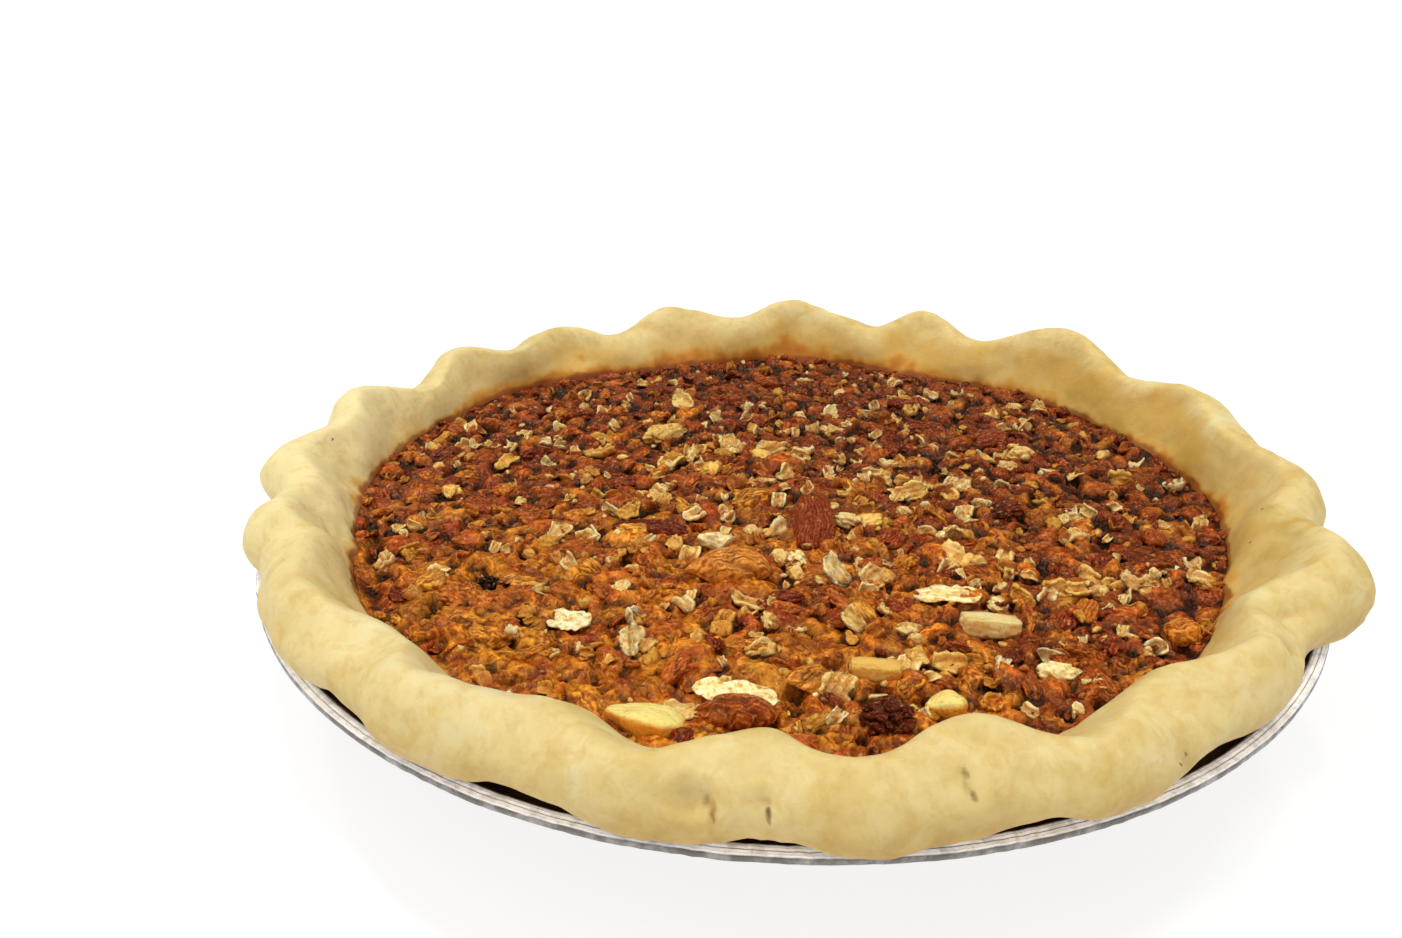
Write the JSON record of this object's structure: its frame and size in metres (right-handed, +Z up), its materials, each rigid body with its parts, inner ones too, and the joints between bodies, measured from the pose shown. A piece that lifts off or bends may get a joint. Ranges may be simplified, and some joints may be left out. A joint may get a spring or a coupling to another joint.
{
  "type": "pecan pie",
  "caption": "Round single-crust nut pie in its foil tin: a thick hand-crimped pastry edge around a set filling covered with chopped pecans.",
  "frame": {"origin": "on the resting surface, at the axis of the tin", "axes": "+Z up; -Y towards the side that the pie is seen from; +X to the right"},
  "size_m": [0.2363, 0.2362, 0.0474],
  "materials": {
    "foil": "thin crinkled foil, satin",
    "pastry": "baked pastry, matte with a faint egg sheen",
    "filling": "set syrup filling with chopped nuts, sticky gloss",
    "pecan_pale": "cut face of pecan, slightly oily",
    "pecan_brown": "glazed pecan skin, satin"
  },
  "bodies": {
    "root": {"pan": "foil", "crust": "pastry", "filling": "filling", "pecan_01": "pecan_pale", "pecan_02": "pecan_brown", "pecan_03": "pecan_brown", "pecan_04": "pecan_pale", "pecan_05": "pecan_pale", "pecan_06": "pecan_pale", "pecan_07": "pecan_brown", "pecan_08": "pecan_pale", "pecan_09": "pecan_brown", "pecan_10": "pecan_brown", "pecan_11": "pecan_pale", "pecan_12": "pecan_pale", "pecan_13": "pecan_pale", "pecan_14": "pecan_pale", "pecan_15": "pecan_pale", "pecan_16": "pecan_pale", "pecan_17": "pecan_pale", "pecan_18": "pecan_pale"}
  },
  "joints": []
}
